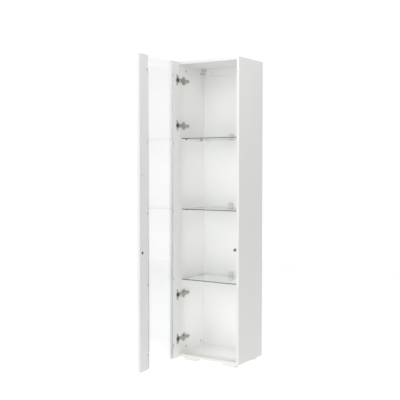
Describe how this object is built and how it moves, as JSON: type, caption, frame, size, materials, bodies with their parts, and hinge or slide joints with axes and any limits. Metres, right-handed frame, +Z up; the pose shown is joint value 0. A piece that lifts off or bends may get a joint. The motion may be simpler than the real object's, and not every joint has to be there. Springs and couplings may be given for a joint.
{
  "type": "display cabinet",
  "caption": "Tall narrow white display cabinet with one full-height glass door on concealed hinges, glass shelves with clip lights, a push latch and low block feet.",
  "frame": {"origin": "on the floor, midway across the carcass and midway between the rear of the carcass and the free edge of the open door, which is the middle of the base of the box around the cabinet as stored, with its door open by 87.5 degrees", "axes": "+Z up; -Y towards the front, where the door is; +X to the right of someone who faces the front; the door hangs on the left side"},
  "size_m": [0.424, 0.7142, 1.8],
  "materials": {
    "white_board": "white melamine board, satin",
    "white_hardboard": "white foil on thin hardboard, satin",
    "zinc_steel": "bright zinc",
    "bracket_steel": "bright zinc sheet",
    "cam_zinc": "grey die-cast zinc",
    "beech": "bare beech",
    "pin_steel": "dark nickel",
    "shelf_glass": "clear, polished edges",
    "door_glass": "clear, polished edges",
    "light_grey_metal": "grey, satin",
    "light_lens": "clear diffuser",
    "nickel": "nickel-plated steel, gloss",
    "pale_plastic": "pale, satin",
    "dark_steel": "dark, satin",
    "grey_plastic": "grey, satin",
    "magnet_black": "dark, satin"
  },
  "bodies": {
    "carcass": {"left_side_panel": "white_board", "right_side_panel": "white_board", "top_board": "white_board", "bottom_board": "white_board", "back_panel": "white_hardboard", "back_nails": "zinc_steel", "rear_rail": "white_board", "rail_brackets": "bracket_steel", "rail_screws": "zinc_steel", "cam_locks": "cam_zinc", "cam_bolts": "zinc_steel", "wood_dowels": "beech", "foot_front_left": "white_board", "foot_front_right": "white_board", "foot_rear_left": "white_board", "foot_rear_right": "white_board", "foot_screws": "zinc_steel", "shelf_pins": "pin_steel", "glass_shelf_upper": "shelf_glass", "glass_shelf_middle": "shelf_glass", "glass_shelf_lower": "shelf_glass", "shelf_light_upper": "light_grey_metal", "shelf_light_middle": "light_grey_metal", "shelf_light_lower": "light_grey_metal", "light_lenses": "light_lens", "light_screws": "zinc_steel", "hinge_plate_1": "nickel", "hinge_plate_2": "nickel", "hinge_plate_3": "nickel", "hinge_plate_4": "nickel", "hinge_plate_screws": "zinc_steel", "hinge_arm_1": "nickel", "hinge_arm_2": "nickel", "hinge_arm_3": "nickel", "hinge_arm_4": "nickel", "hinge_arm_screws": "zinc_steel", "hinge_pins": "zinc_steel", "latch_body": "grey_plastic", "latch_spring": "zinc_steel", "latch_screws": "zinc_steel"},
    "door": {"door_stile_free": "white_board", "door_stile_hinge": "white_board", "door_pane": "door_glass", "pane_retainers": "pale_plastic", "retainer_screws": "zinc_steel", "strike_plate": "dark_steel", "strike_screw": "dark_steel", "spare_hole_cap": "pale_plastic", "hinge_cup_1": "nickel", "hinge_cup_2": "nickel", "hinge_cup_3": "nickel", "hinge_cup_4": "nickel", "hinge_cup_screws": "zinc_steel"},
    "plunger": {"latch_plunger": "grey_plastic", "latch_magnet": "magnet_black"}
  },
  "joints": [
    {"name": "door_swing", "type": "hinge", "parent": "carcass", "child": "door", "pos_m": [-0.2027, 0.05656, 0.909], "axis": [0, 0, -1], "range_deg": [-87.5, 7.5]},
    {"name": "latch_press", "type": "slide", "parent": "carcass", "child": "plunger", "axis": [0, 1, 0], "range_m": [0, 0.0035], "stiffness_N_per_m": 150, "springref_m": -0.006, "deforming": ["latch_spring"]}
  ]
}
